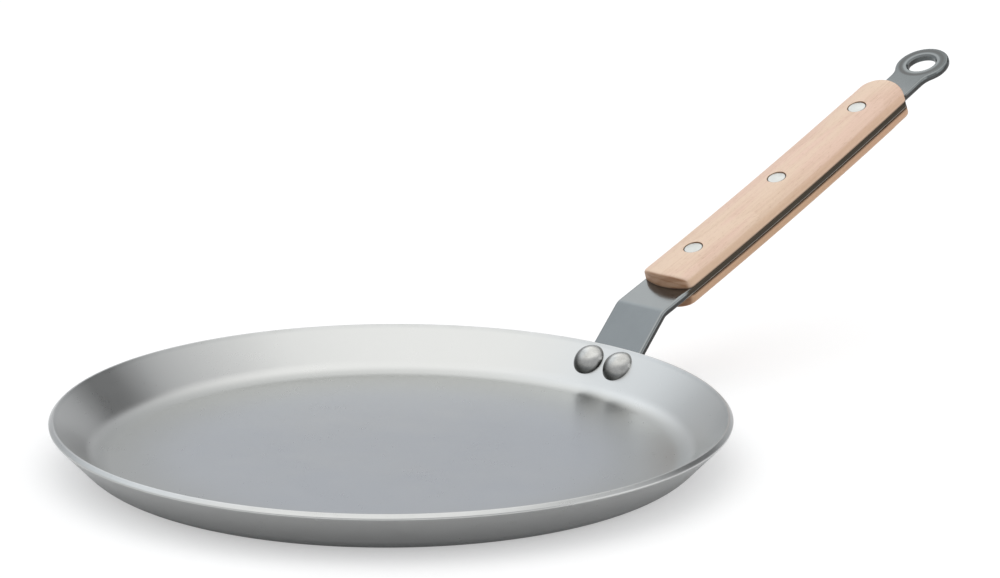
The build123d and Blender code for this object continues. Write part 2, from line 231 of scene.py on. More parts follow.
class Wire:
    """A node's output. Arithmetic with it adds Math nodes to its tree."""

    def __init__(self, socket):
        self.socket, self.tree = socket, socket.id_data

    def __add__(self, other):
        return calculate("ADD", self, other)

    def __sub__(self, other):
        return calculate("SUBTRACT", self, other)

    def __mul__(self, other):
        return calculate("MULTIPLY", self, other)

    def __truediv__(self, other):
        return calculate("DIVIDE", self, other)

    def __neg__(self):
        return self * -1.0

    def vector(self, operation, other=None, out=0):
        """A Vector Math node on this vector."""
        values = {0: self} if other is None else {0: self, 1: other}
        return add_node(self.tree, "ShaderNodeVectorMath", values, out, operation=operation)

    def facing(self, direction):
        """How far this normal faces a direction, from -1 to 1."""
        return self.vector("DOT_PRODUCT", direction, "Value")

    def distance(self):
        """This vector's length."""
        return self.vector("LENGTH", out="Value")

    def parts(self):
        """This vector's X, Y and Z."""
        first = add_node(self.tree, "ShaderNodeSeparateXYZ", {0: self})
        return first, first.beside("Y"), first.beside("Z")

    def beside(self, name):
        """Another output of the same node."""
        return Wire(self.socket.node.outputs[name])

    def step(self, start, end, curve="SMOOTHSTEP"):
        """0 up to the start, 1 from the end on, and a soft curve between."""
        limits = {0: self, 1: start, 2: end, 3: 0.0, 4: 1.0}
        return add_node(self.tree, "ShaderNodeMapRange", limits, interpolation_type=curve)

    def band(self, start, full, fading, end):
        """1 between full and fading, and 0 before the start and after the end."""
        return self.step(start, full) * self.step(end, fading)

    def limited(self):
        """This value kept between 0 and 1."""
        return add_node(self.tree, "ShaderNodeClamp", {"Value": self})


def feed(socket, value):
    """Links a wire to a node's input, or gives it a value; a colour gets its alpha."""
    if isinstance(value, Wire):
        socket.id_data.links.new(value.socket, socket)
    elif socket.type == "RGBA":
        socket.default_value = (*value, 1.0)
    else:
        socket.default_value = value


def add_node(tree, kind, inputs=None, out=0, **settings):
    """Adds a node, feeds its inputs, by name or number, and gives one of its outputs."""
    node = tree.nodes.new(kind)
    for name, value in settings.items():
        setattr(node, name, value)
    for key, value in (inputs or {}).items():
        feed(node.inputs[key], value)
    return Wire(node.outputs[out])


def calculate(operation, *values):
    """One Math node; at least one of the values is a wire."""
    tree = next(value.tree for value in values if isinstance(value, Wire))
    return add_node(tree, "ShaderNodeMath", dict(enumerate(values)), operation=operation)


def combine(tree, x=0.0, y=0.0, z=0.0):
    """A vector of its three parts."""
    return add_node(tree, "ShaderNodeCombineXYZ", {0: x, 1: y, 2: z})


def new_tree(kind, name, outputs, inputs):
    """A node group with named sockets and their types. Gives it and a wire for each input, in order."""
    tree = bpy.data.node_groups.new(name, kind + "NodeTree")
    for side, sockets in (("INPUT", inputs), ("OUTPUT", outputs)):
        for label, socket_type in sockets.items():
            tree.interface.new_socket(label, in_out=side, socket_type="NodeSocket" + socket_type)
    given = tree.nodes.new("NodeGroupInput").outputs
    return tree, [Wire(socket) for socket in given if socket.name]


def sized_tree(name, sizes):
    """A Geometry Nodes group with an input for each named size, in the sizes' order."""
    kinds = {float: "Float", int: "Int", Vector: "Vector", bpy.types.Material: "Material"}
    inputs = {label: kinds[type(size)] for label, size in sizes.items()}
    return new_tree("Geometry", name, {"Geometry": "Geometry"}, inputs)


def put_out(*wires):
    """Links wires to their group's outputs, in order, and gives the group."""
    tree = wires[0].tree
    for socket, wire in zip(tree.nodes.new("NodeGroupOutput").inputs, wires):
        feed(socket, wire)
    return tree


def put_out_solid(shape, material):
    """Ends a tree with real geometry in its material."""
    whole = add_node(shape.tree, "GeometryNodeRealizeInstances", {"Geometry": shape})
    values = {"Geometry": whole, "Material": material}
    return put_out(add_node(shape.tree, "GeometryNodeSetMaterial", values))


def new_object(name, data):
    """An object in the scene."""
    added = bpy.data.objects.new(name, data)
    bpy.context.scene.collection.objects.link(added)
    return added


def grow_piece(name, make_tree, material, nodes, sizes):
    """Runs a Geometry Nodes tree on an empty mesh and finishes the plain mesh that it gives."""
    sizes = {**sizes, "Material": find_material(material)}
    tree = make_tree(sizes)
    holder = new_object(name, bpy.data.meshes.new(name))
    modifier = holder.modifiers.new(name, "NODES")
    modifier.node_group = tree
    sockets = {item.name: item.identifier for item in tree.interface.items_tree if item.in_out == "INPUT"}
    for label, size in sizes.items():
        modifier[sockets[label]] = size
    keep_result(holder)
    holder.data.name = name
    finish_piece(holder, nodes)


def keep_result(piece):
    """Makes what an object's modifiers give its own plain mesh."""
    evaluated = piece.evaluated_get(bpy.context.evaluated_depsgraph_get())
    mesh = bpy.data.meshes.new_from_object(evaluated)
    piece.modifiers.clear()
    piece.data = mesh


def shape_to_mesh(shape, name):
    """A new mesh of a bmesh, which is freed."""
    mesh = bpy.data.meshes.new(name)
    shape.to_mesh(mesh)
    shape.free()
    return mesh


def finish_piece(piece, nodes):
    """Closes, smooths and hands over a piece that stands for CAD nodes."""
    shape = bmesh.new()
    shape.from_mesh(piece.data)
    bmesh.ops.remove_doubles(shape, verts=shape.verts, dist=0.001 * MM)
    bmesh.ops.recalc_face_normals(shape, faces=shape.faces)
    shape.to_mesh(piece.data)
    shape.free()
    piece.data.shade_smooth()
    piece.data.set_sharp_from_angle(angle=SHARP_EDGE)
    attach(piece, BODY)
    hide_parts(*nodes)


# Turned shapes: dish and rivets


def turned_shape_tree():
    """A group that turns a section, drawn with X outward and Y up, once round the Z axis."""
    tree, (section, segments) = new_tree(
        "Geometry", "Turned Shape", {"Mesh": "Geometry"}, {"Section": "Geometry", "Segments": "Int"}
    )
    circle = add_node(tree, "GeometryNodeCurvePrimitiveCircle", {"Resolution": segments, "Radius": 1.0})
    inward = add_node(
        tree, "GeometryNodeTransform",
        {"Geometry": section, "Translation": (-1.0, 0.0, 0.0), "Scale": (1.0, -1.0, 1.0)},
    )
    swept = add_node(tree, "GeometryNodeCurveToMesh", {"Curve": circle, "Profile Curve": inward})
    merged = {"Geometry": swept, "Distance": 0.004 * MM}
    return put_out(add_node(tree, "GeometryNodeMergeByDistance", merged))


def turned_section(tree, corners, segments, steps):
    """Turns a section of (outward, up, rounding) corners, each a value or a wire."""
    index = add_node(tree, "GeometryNodeInputIndex")
    switches = []
    for kind in ("VECTOR", "FLOAT"):
        switch = tree.nodes.new("GeometryNodeIndexSwitch")
        switch.data_type = kind
        while len(switch.index_switch_items) < len(corners):
            switch.index_switch_items.new()
        feed(switch.inputs["Index"], index)
        switches.append(switch)
    places, roundings = switches
    for i, (outward, up, rounding) in enumerate(corners, start=1):
        feed(places.inputs[i], combine(tree, outward, up))
        feed(roundings.inputs[i], rounding)
    laid = {"Count": len(corners), "Position": Wire(places.outputs[0])}
    points = add_node(tree, "GeometryNodePoints", laid)
    curve = add_node(tree, "GeometryNodePointsToCurves", {"Points": points})
    rounded = {"Curve": curve, "Radius": Wire(roundings.outputs[0]), "Count": steps}
    section = add_node(tree, "GeometryNodeFilletCurve", rounded, mode="POLY")
    turned = bpy.data.node_groups.get("Turned Shape") or turned_shape_tree()
    return add_node(tree, "GeometryNodeGroup", {"Section": section, "Segments": segments}, node_tree=turned)


def dish_tree(sizes):
    """The pressed dish: its section from named sizes, turned round the middle."""
    tree, (rim, height, sheet, slope, bend, rounding, segments, material) = sized_tree(
        "Crepe Pan Dish", sizes
    )
    steepness = calculate("TANGENT", slope)
    inner_rim = rim - sheet * calculate("SINE", slope)
    inner_height = height + sheet * calculate("COSINE", slope)
    outer_foot = rim - height / steepness
    inner_foot = inner_rim - (inner_height - sheet) / steepness
    corners = [
        (0.0, 0.0, 0.0),
        (outer_foot * 0.5, 0.0, 0.0),
        (outer_foot, 0.0, bend),
        (rim, height, rounding),
        (inner_rim, inner_height, rounding),
        (inner_foot, sheet, bend - sheet),
        (inner_foot * 0.6, sheet, 0.0),
        (inner_foot * 0.2, sheet, 0.0),
        (0.0, sheet, 0.0),
    ]
    return put_out_solid(turned_section(tree, corners, segments, steps=14), material)


def place_rivets(rivet, count, place, turn, material):
    """Ends a tree: a rivet at each of its places, tilted up by the slope there.

    Each rivet keeps its own coordinates for its material."""
    tree = rivet.tree
    marked = add_node(
        tree, "GeometryNodeStoreNamedAttribute",
        {"Geometry": rivet, "Name": "turned", "Value": add_node(tree, "GeometryNodeInputPosition")},
        data_type="FLOAT_VECTOR", domain="POINT",
    )
    seats = add_node(tree, "GeometryNodePoints", {"Count": count, "Position": place})
    spread = add_node(
        tree, "GeometryNodeInstanceOnPoints",
        {"Points": seats, "Instance": marked, "Rotation": combine(tree, y=-turn)},
    )
    return put_out_solid(spread, material)


def wall_rivet_tree(sizes):
    """The rivets through the wall: a dome inside, a shank and a set head outside, side by side."""
    tree, (count, pitch, middle, turn, head, crown, shank, through, *others) = sized_tree(
        "Wall Rivets", sizes
    )
    set_radius, set_height, bevel, material = others
    dome = (head * head + crown * crown) / (crown * 2.0)
    shoulder = dome * calculate("TANGENT", calculate("ARCSINE", head / dome) / 2.0)
    skirt = crown * -0.2
    foot = -through
    low = foot - set_height
    corners = [
        (0.0, crown, 0.0),
        (shoulder, crown, dome),
        (head, 0.0, 0.0),
        (head, skirt, 0.0),
        (shank, skirt, 0.0),
        (shank, foot, 0.0),
        (set_radius, foot, 0.0),
        (set_radius, low + bevel, 0.5 * MM),
        (set_radius - bevel, low, 0.8 * MM),
        (0.0, low, 0.0),
    ]
    rivet = turned_section(tree, corners, DOME_SEGMENTS, steps=16)
    index = add_node(tree, "GeometryNodeInputIndex")
    across = (index - (count - 1.0) / 2.0) * pitch
    place = middle.vector("ADD", combine(tree, y=across))
    return place_rivets(rivet, count, place, turn, material)


def grip_rivet_tree(sizes):
    """The rivets through the grip: flat heads above and below, spaced along the bowed bar."""
    tree, (count, first, pitch, reach, slope, bow, centre, head, depth, top, bar, *others) = sized_tree(
        "Grip Rivets", sizes
    )
    body, edge, material = others
    under = top - depth
    bottom = -(top + bar)
    over = bottom + depth
    corners = [
        (0.0, top, 0.0),
        (head, top, edge),
        (head, under, 0.0),
        (body, under, 0.0),
        (body, over, 0.0),
        (head, over, 0.0),
        (head, bottom, edge),
        (0.0, bottom, 0.0),
    ]
    rivet = turned_section(tree, corners, FLAT_SEGMENTS, steps=5)
    index = add_node(tree, "GeometryNodeInputIndex")
    turn = slope + (index * pitch + first - reach) / bow
    arm = combine(tree, x=calculate("SINE", turn) * bow, z=-(calculate("COSINE", turn) * bow))
    return place_rivets(rivet, count, centre.vector("ADD", arm), turn, material)


# Wooden scales


def arc(centre, radius, start, end, steps):
    """Points along an arc, ends included."""
    turns = [start + (end - start) * i / steps for i in range(steps + 1)]
    return [Vector((centre[0] + radius * cos(turn), centre[1] + radius * sin(turn))) for turn in turns]


def end_arc(grip, line, tip, bulge, facing):
    """Half of a scale's end: the corner's arc and the end's arc, from the side to the middle.

    Returned as (run, across) points; facing is 1 at the rear end and -1 at the front end."""
    half = line.half_width(tip - facing * bulge)
    radius = (half * half + bulge * bulge) / (2 * bulge)
    centre = tip - facing * radius
    taper = (grip.rear_width - grip.front_width) / 2 / line.rear
    corner = grip.scale_corner
    inset = line.half_width(centre) - corner * sqrt(1 + taper * taper)
    reach = radius - corner
    # where the side, moved in by the corner's radius, meets the end's circle, made smaller by it
    a, b, c = 1 + taper * taper, 2 * taper * inset, inset * inset - reach * reach
    along = (-b + facing * sqrt(b * b - 4 * a * c)) / (2 * a)
    corner_middle = (centre + along, inset + taper * along)
    side_angle = pi / 2 + atan2(taper, 1)
    end_angle = atan2(corner_middle[1], along)
    flat_angle = 0.0 if facing > 0 else pi
    points = arc(corner_middle, corner, side_angle, end_angle, steps=10)
    return points + arc((centre, 0.0), radius, end_angle, flat_angle, steps=14)[1:]


def scale_rim(grip, line):
    """The outline of a scale as (run, across) points, once round, from the left side's front."""
    rear_end = end_arc(grip, line, line.rear, grip.rear_bulge, 1)
    front_end = end_arc(grip, line, line.front, grip.front_bulge, -1)
    steps = 96
    side = [front_end[0].lerp(rear_end[0], i / steps) for i in range(1, steps)]
    left_half = front_end[::-1] + side + rear_end
    return left_half + [Vector((p.x, -p.y)) for p in left_half[-2:0:-1]]


def grip_scale(grip, line, side):
    """One wooden scale: crowned, with sanded edges, lying on the bowed bar."""
    rim = scale_rim(grip, line)
    crown_rise = grip.scale_thickness - grip.crown_foot
    insets = [0, 0.06, 0.14, 0.25, 0.4, 0.6, 0.85, 1.2, 1.7, 2.3, 3.0, 4.0, 5.2, 6.6, 8.2]

    def height_at(run, across, inset):
        half = line.half_width(run) + grip.crown_overhang
        crown = grip.crown_foot + crown_rise * sqrt(max(0.0, 1 - (across / half) ** 2))
        near_rear = (run - line.rear + 3.2 * grip.rear_bulge) / (2.4 * grip.rear_bulge)
        near_rear = min(1.0, max(0.0, near_rear))
        blend = near_rear * near_rear * (3 - 2 * near_rear)
        most = max(0.42 * crown, 0.3 * MM)  # less than half of the side's height
        ease = min(grip.side_ease + (grip.rear_ease - grip.side_ease) * blend, most)
        if inset < ease:
            crown -= ease - sqrt(ease * ease - (ease - inset) ** 2)
        return crown

    def corner(run, across, height):
        """A vertex above the bar for the upper scale, or below it for the lower one."""
        rise = height if side == UPPER else -grip.bar_thickness - height
        return shape.verts.new(line.at(run, across, rise))

    shape = bmesh.new()
    spine_front, spine_rear = line.front + grip.front_width / 2, line.rear - grip.rear_width / 2
    spine = [Vector((min(max(p.x, spine_front), spine_rear), 0.0)) for p in rim]
    spine_runs = [round(q.x, 7) for q in spine]
    rows = []
    for share in (0.0, 0.5):
        rows.append([corner(p.x, p.y, height_at(p.x, p.y, 0.0) * share) for p in rim])
    for inset in insets:
        row = []
        for p, q in zip(rim, spine):
            spot = p + (q - p) * min(inset * MM / (q - p).length, 0.96)
            row.append(corner(spot.x, spot.y, height_at(spot.x, spot.y, inset * MM)))
        rows.append(row)
    pairs = [(i, (i + 1) % len(rim)) for i in range(len(rim))]
    for lower, upper in zip(rows, rows[1:]):
        for i, j in pairs:
            shape.faces.new((lower[i], lower[j], upper[j], upper[i]))

    def close(row, middle_height, backward):
        """Fills a row in to the spine."""
        middle = {run: corner(run, 0.0, middle_height(run)) for run in sorted(set(spine_runs))}
        for pair in pairs:
            i, j = pair[::-1] if backward else pair
            corners = [row[i], row[j], middle[spine_runs[j]], middle[spine_runs[i]]]
            shape.faces.new(corners[:3] if corners[2] is corners[3] else corners)

    close(rows[-1], lambda run: height_at(run, 0.0, 1.0), False)
    close(rows[0], lambda run: 0.0, True)
    bmesh.ops.recalc_face_normals(shape, faces=shape.faces)
    return shape_to_mesh(shape, "scale")


def recess_cutters(grip, line):
    """One mesh of round plugs that cut the rivets' recesses into a scale."""
    shape = bmesh.new()
    radius = grip.rivet_head / 2 + grip.head_clearance
    plug = 8 * MM
    half_bar = grip.bar_thickness / 2
    floor = grip.scale_thickness - grip.rivet_recess - grip.rivet_head_depth + half_bar
    for run in rivet_runs(grip):
        upright = Matrix.Translation(line.at(run, 0.0, -half_bar)) @ Matrix.Rotation(-line.turn(run), 4, "Y")
        for side in (UPPER, LOWER):
            bmesh.ops.create_cone(
                shape, cap_ends=True, segments=FLAT_SEGMENTS, radius1=radius, radius2=radius, depth=plug,
                matrix=upright @ Matrix.Translation((0, 0, side * (floor + plug / 2))),
            )
    return shape_to_mesh(shape, "recesses")


# Patterns that the materials share


def noise(vector, scale, detail, roughness=0.6, distortion=0.0):
    """Noise from 0 to 1; a scale of three numbers stretches it."""
    if isinstance(scale, tuple):
        vector, scale = vector.vector("MULTIPLY", scale), 1.0
    values = {"Scale": scale, "Detail": detail, "Roughness": roughness, "Distortion": distortion}
    return add_node(vector.tree, "ShaderNodeTexNoise", {"Vector": vector, **values})


def mottling_group():
    """Soft patches of two sizes, from 0 to 1, as on metal that has been wiped and handled."""
    _, (vector, scale, contrast) = new_tree(
        "Shader", "Mottling", {"Value": "Float"}, {"Vector": "Vector", "Scale": "Float", "Contrast": "Float"}
    )
    large = noise(vector, scale, 4.0, 0.55, 0.6)
    small = noise(vector, scale * 6.3, 3.0)
    return put_out(((small * 0.3 + large * 0.7 - 0.5) * contrast + 0.5).limited())


def rolled_grain_group():
    """Fine straight lines along the vector's X, as a rolling mill or a polishing belt leaves."""
    tree, (vector, across, stretch) = new_tree(
        "Shader", "Rolled Grain", {"Height": "Float"},
        {"Vector": "Vector", "Lines per Metre": "Float", "Stretch": "Float"},
    )
    scaled = vector.vector("MULTIPLY", combine(tree, across / stretch, across, across))
    return put_out(noise(scaled, 1.0, 2.0, 0.7))


def beech_group():
    """Beech: growth rings, long streaks and short ray flecks; the vector's X runs along the grain."""
    _, (vector, end_face, ring_width, light, blush, dark, end) = new_tree(
        "Shader", "Beech", {"Color": "Color", "Height": "Float", "Roughness": "Float"},
        {
            "Vector": "Vector", "End Face": "Float", "Ring Width": "Float",
            "Light": "Color", "Blush": "Color", "Dark": "Color", "End": "Color",
        },
    )
    x, y, z = vector.parts()
    heart_lean, heart_aside, heart_below = 0.035, 5 * MM, 55 * MM
    sideways = x * heart_lean + y - heart_aside
    upward = x * -heart_lean + z + heart_below
    wander = noise(vector, (9.0, 70.0, 70.0), 2.0) - 0.5
    radius = wander * (5 * MM) + calculate("SQRT", sideways * sideways + upward * upward)
    late_wood = calculate("FRACT", radius / ring_width).step(0.45, 1.0)
    streaks = noise(vector, (14.0, 900.0, 900.0), 4.0, 0.65, 0.2)
    patches = noise(vector, (10.0, 60.0, 60.0), 2.0)
    flecks = noise(vector, (420.0, 3600.0, 3600.0), 2.0, 0.5).step(0.57, 0.70)
    pores = noise(vector, (900.0, 9000.0, 9000.0), 2.0, 0.7) - 0.5
    tone = late_wood * 0.16 + (streaks - 0.5) * 0.95 + (patches - 0.47) * 0.45
    tone = (tone + flecks * 0.42 + pores * 0.35).limited()
    blushing = noise(vector, (16.0, 110.0, 110.0), 3.0).step(0.42, 0.60)
    uneven = noise(vector, (60.0, 130.0, 420.0), 3.0).step(0.36, 0.60)
    face = mixed(tone, mixed(blushing, light, blush), dark)
    cut = mixed(late_wood * 0.35 + 0.05 + uneven * 0.45 + pores * 0.5, dark, end)
    height = streaks * 0.5 - flecks * 0.5 + (pores + 0.5) * 0.3
    return put_out(mixed(end_face, face, cut), height, tone * 0.15 + 0.46)


def bar_depth_group(line):
    """How far a place lies below the bar's upper face, negative above it."""
    _, (vector,) = new_tree("Shader", "Bar Depth", {"Depth": "Float"}, {"Vector": "Vector"})
    in_plane = vector.vector("SUBTRACT", tuple(line.bow_centre)).vector("MULTIPLY", (1.0, 0.0, 1.0))
    return put_out(in_plane.distance() - line.bow)


def nicks(vector, spacing, size, share, stretch):
    """Sparse small nicks and scratches: 1 in a nick and 0 elsewhere."""
    across = 1 / spacing
    scaled = vector.vector("MULTIPLY", (across / stretch, across, across))
    cells = add_node(vector.tree, "ShaderNodeTexVoronoi", {"Vector": scaled, "Scale": 1.0})
    pick = add_node(vector.tree, "ShaderNodeSeparateColor", {0: cells.beside("Color")})
    return cells.step(size / spacing, 0.0, "LINEAR") * calculate("LESS_THAN", pick, share)


# Materials


def mixed(factor, first, second):
    """A colour between two; the node keeps the factor between 0 and 1."""
    return add_node(factor.tree, "ShaderNodeMix", {0: factor, 6: first, 7: second}, 2, data_type="RGBA")


def new_material(name, **constants):
    """A material with its shader's constant values; gives its tree and its shader's inputs."""
    material = bpy.data.materials.new(name)
    material.use_nodes = True
    shader = material.node_tree.nodes["Principled BSDF"].inputs
    for key, value in constants.items():
        feed(shader[key.replace("_", " ")], value)
    return material.node_tree, shader


def use(group, vector, **values):
    """Places a pattern's group on a vector; gives its output, or a list where it has more."""
    node = vector.tree.nodes.new("ShaderNodeGroup")
    node.node_tree = group
    for name, value in {"Vector": vector, **values}.items():
        feed(node.inputs[name.replace("_", " ")], value)
    wires = [Wire(socket) for socket in node.outputs]
    return wires if len(wires) > 1 else wires[0]


def object_place(tree, turn=(0.0, 0.0, 0.0), shift=(0.0, 0.0, 0.0)):
    """Object coordinates, turned and shifted."""
    place = add_node(tree, "ShaderNodeTexCoord", out="Object")
    return add_node(tree, "ShaderNodeMapping", {"Vector": place, "Rotation": turn, "Location": shift})


def surface_normal(tree):
    """The direction that the surface faces, in object coordinates."""
    return add_node(tree, "ShaderNodeTexCoord", out="Normal")


def from_axis(vector):
    """A vector's X, Y and Z, and its distance from the Z axis."""
    x, y, z = vector.parts()
    return x, y, z, combine(vector.tree, x, y).distance()


def on_rivet(tree):
    """The same, of a place in a rivet's own coordinates."""
    return from_axis(add_node(tree, "ShaderNodeAttribute", out="Vector", attribute_name="turned"))


def bump(shader, *layers):
    """Bump nodes on the shader's normal; each layer is a height, its distance and its strength."""
    before = {}
    for height, distance, strength in layers:
        values = {"Height": height, "Distance": distance, "Strength": strength, **before}
        before = {"Normal": add_node(height.tree, "ShaderNodeBump", values)}
    feed(shader["Normal"], before["Normal"])


def waxed_sheet_steel(finishes, groups, pan):
    """Bare rolled sheet under thin wax: cooler toward the middle, with a patchy painted highlight on the rim
    and painted shade on the wall outside.
    """
    tree, shader = new_material(
        "waxed_sheet_steel", Metallic=1.0, Coat_Roughness=0.3, Coat_IOR=1.44, Coat_Weight=0.12
    )
    place = object_place(tree, turn=(0.0, 0.0, radians(-38)))
    _, _, height, radius = from_axis(object_place(tree))
    patches = use(groups["mottling"], place, Scale=11.0, Contrast=2.2)
    cloud = use(groups["mottling"], place, Scale=55.0, Contrast=1.5)
    grain = use(groups["grain"], place, Lines_per_Metre=2600.0, Stretch=30.0)
    across, top = pan.rim_diameter, pan.body_height
    near_wall = height.step(pan.sheet * 1.9, pan.sheet * 1.1) * radius.step(across * 0.22, across * 0.36)
    base = mixed(near_wall, finishes.steel, finishes.steel_edge)
    middle = (patches * (12 * MM) + radius).step(across * 0.44, across * 0.30)
    base = mixed(middle * (patches * 0.7 + 0.55), base, finishes.steel_cool)
    # painted shade on the wall outside: downward faces darken, the more the nearer they lie to the table
    outside = surface_normal(tree).facing((0.0, 0.0, -1.0)).step(0.1, 0.5)
    low = height.step(top * 0.8, top * 0.1)
    base = mixed(outside * (low * 0.12 + 0.22), base, finishes.steel_outside_shade)
    # the rim band is darker, with a patchy painted highlight over it
    rim = height.step(top - 1.4 * MM, top - 0.4 * MM)
    base = mixed(rim * 0.6, base, finishes.steel_edge)
    base = mixed(rim * (cloud * 0.40 - 0.1), base, finishes.steel_rim_highlight)
    feed(shader["Base Color"], base)
    feed(shader["Roughness"], cloud * 0.06 + grain * 0.05 + 0.235)
    bump(shader, (patches, 0.10 * MM, 0.5), (grain, 0.003 * MM, 0.5))


def coated_bar_steel(finishes, groups, pan, grip, line):
    """Coated strip steel: smooth and satin, with dark sheared sides, light nicks and a painted highlight on
    its rounded edges; painted shade and highlight on its sides between the scales and round the eye.
    """
    tree, shader = new_material("coated_bar_steel", Metallic=1.0, Coat_Roughness=0.2, Coat_Weight=0.1)
    here = object_place(tree)
    place = object_place(tree, turn=(0.0, radians(21.5), 0.0))
    patches = use(groups["mottling"], place, Scale=38.0, Contrast=1.6)
    grain = use(groups["grain"], place, Lines_per_Metre=3000.0, Stretch=16.0)
    marks = nicks(place, spacing=9 * MM, size=0.25 * MM, share=0.08, stretch=4.0)
    normal = surface_normal(tree)
    grip_slope = grip.grip_angle + grip.scale_length / grip.grip_bow / 2
    facings = [normal.facing((-sin(slope), 0.0, cos(slope))) for slope in (grip_slope, pan.wall_angle)]
    upward = calculate("MAXIMUM", *facings)
    downward = -calculate("MINIMUM", *facings)
    sheared = upward.step(0.42, 0.02) * downward.step(0.95, 0.70)
    # painted highlight along the rounded edges
    edge = upward.band(0.35, 0.70, 0.93, 0.99)
    along = here.parts()[0]
    base = mixed(along.step(262 * MM, 305 * MM), finishes.bar, finishes.bar_rear)
    edge_sheen_and_wear = calculate("MAXIMUM", edge * 0.45 + (patches - 0.35) * 0.25, marks * 0.35)
    base = mixed(edge_sheen_and_wear, base, finishes.bar_sheen_and_wear)
    eye = line.at(line.rear + grip.neck_length)
    from_eye = object_place(tree, shift=tuple(-eye)).distance()
    # painted shade in a ring round the eye, and a painted highlight on the ring's lip
    eye_groove_shade = from_eye.band(7.1 * MM, 8.2 * MM, 8.6 * MM, 9.6 * MM) * (patches * 0.6 + 0.45)
    base = mixed(eye_groove_shade, base, finishes.bar_side)
    eye_lip_highlight = from_eye.band(6.0 * MM, 6.5 * MM, 6.9 * MM, 7.6 * MM)
    base = mixed(eye_lip_highlight * 0.35, base, finishes.bar_sheen_and_wear)
    base = mixed(sheared, base, finishes.bar_side)
    front, back = line.at(line.front).x, line.at(line.rear).x
    covered = along.band(front - MM, front + 2 * MM, back - 2 * MM, back + MM)
    # painted shade on the strip's sides between the scales, under their overhang
    shaded_between_scales = covered * upward.step(0.95, 0.60)
    base = mixed(shaded_between_scales, base, finishes.bar_side_shade)
    # painted highlight low on those sides, where the rounded lower edge turns toward the floor
    low_side_highlight = use(groups["depth"], here).band(2.0 * MM, 2.35 * MM, 2.6 * MM, 2.95 * MM)
    feed(shader["Base Color"], mixed(shaded_between_scales * low_side_highlight, base, finishes.bar_side_highlight))
    feed(shader["Roughness"], patches * 0.05 + sheared * 0.25 + 0.15)
    bump(shader, (grain - marks, 0.0015 * MM, 0.4))


def tumbled_rivet_steel(finishes, groups):
    """Tumbled steel with a painted highlight on top of the dome and painted shade down its lower side and
    toward its edge.
    """
    tree, shader = new_material("tumbled_rivet_steel", Metallic=1.0)
    x, y, _, radius = on_rivet(tree)
    place = object_place(tree)
    patches = use(groups["mottling"], place, Scale=240.0, Contrast=2.4)
    grain = use(groups["grain"], place, Lines_per_Metre=5200.0, Stretch=3.0)
    # painted shade down the lower side of each dome and toward its edge
    dark_side = (x * -0.30 + radius + y * 0.80).step(1.8 * MM, 8.4 * MM)
    brim = radius.step(5.4 * MM, 6.2 * MM) * 0.8
    shade = patches * 0.45 + calculate("MAXIMUM", dark_side, brim) - 0.12
    # painted highlight: the lighter colour on top of the dome
    light = [min(1.0, 1.25 * part) for part in finishes.rivet]
    feed(shader["Base Color"], mixed(shade, light, darkened(finishes.rivet)))
    feed(shader["Roughness"], patches * 0.10 + 0.19)
    bump(shader, (patches, 0.06 * MM, 0.8), (grain, 0.01 * MM, 0.6))


def turned_rivet_metal(finishes, groups):
    """Pale turned metal with faint rings."""
    tree, shader = new_material("turned_rivet_metal", Metallic=1.0)
    radius = on_rivet(tree)[3]
    patches = use(groups["mottling"], object_place(tree), Scale=180.0, Contrast=1.8)
    edge = radius.step(3.15 * MM, 3.5 * MM, "LINEAR")
    shade = patches * 0.22 + edge * 0.9
    feed(shader["Base Color"], mixed(shade, finishes.grip_rivet, darkened(finishes.grip_rivet)))
    feed(shader["Roughness"], patches * 0.12 + 0.28)
    radians_per_metre = 42000.0
    rings = calculate("SINE", radius * radians_per_metre)
    bump(shader, (rings, 0.004 * MM, 0.5))


def darkened(metal):
    """The darker colour of a rivet's metal: painted shade on the domed rivets, and a dark ring round the
    flat heads.
    """
    kept = 0.22
    return [kept * part for part in metal]


def oiled_beech(name, finishes, groups, grip, line, darken, shift_along):
    """Oiled beech, its grain along the grip, darker on the cut ends, with painted shade on its sideways
    faces and in the seam along the bar.
    """
    tree, shader = new_material(name, Specular_IOR_Level=0.4)
    middle = line.front + grip.scale_length / 2
    turn = line.turn(middle)
    shift = Matrix.Rotation(turn, 3, "Y") @ -line.at(middle) + Vector((shift_along, 0.0, 0.0))
    place = object_place(tree, turn=(0.0, turn, 0.0), shift=tuple(shift))
    normal = surface_normal(tree)
    end_face = calculate("ABSOLUTE", normal.facing((cos(turn), 0.0, sin(turn)))).step(0.45, 0.92)
    light, blush, dark, end, side = (
        [part * share for part, share in zip(tint, darken)]
        for tint in (
            finishes.wood, finishes.wood_blush, finishes.wood_dark, finishes.wood_end, finishes.wood_side_shade
        )
    )
    beech, height, roughness = use(
        groups["beech"], place,
        End_Face=end_face, Ring_Width=2.3 * MM, Light=light, Blush=blush, Dark=dark, End=end,
    )
    # painted shade on the faces that look sideways
    painted_side_shade = calculate("ABSOLUTE", normal.parts()[1]).step(0.62, 0.97) * 0.55
    half_bar = grip.bar_thickness / 2
    depth = use(groups["depth"], object_place(tree))
    from_bar = calculate("ABSOLUTE", depth - half_bar) - half_bar
    # painted shade in the crease where the wood meets the bar
    seam_shade = from_bar.step(0.7 * MM, 0.1 * MM) * 0.75
    feed(shader["Base Color"], mixed(seam_shade, mixed(painted_side_shade, beech, side), finishes.wood_seam_shade))
    feed(shader["Roughness"], roughness)
    bump(shader, (height, 0.05 * MM, 0.5))


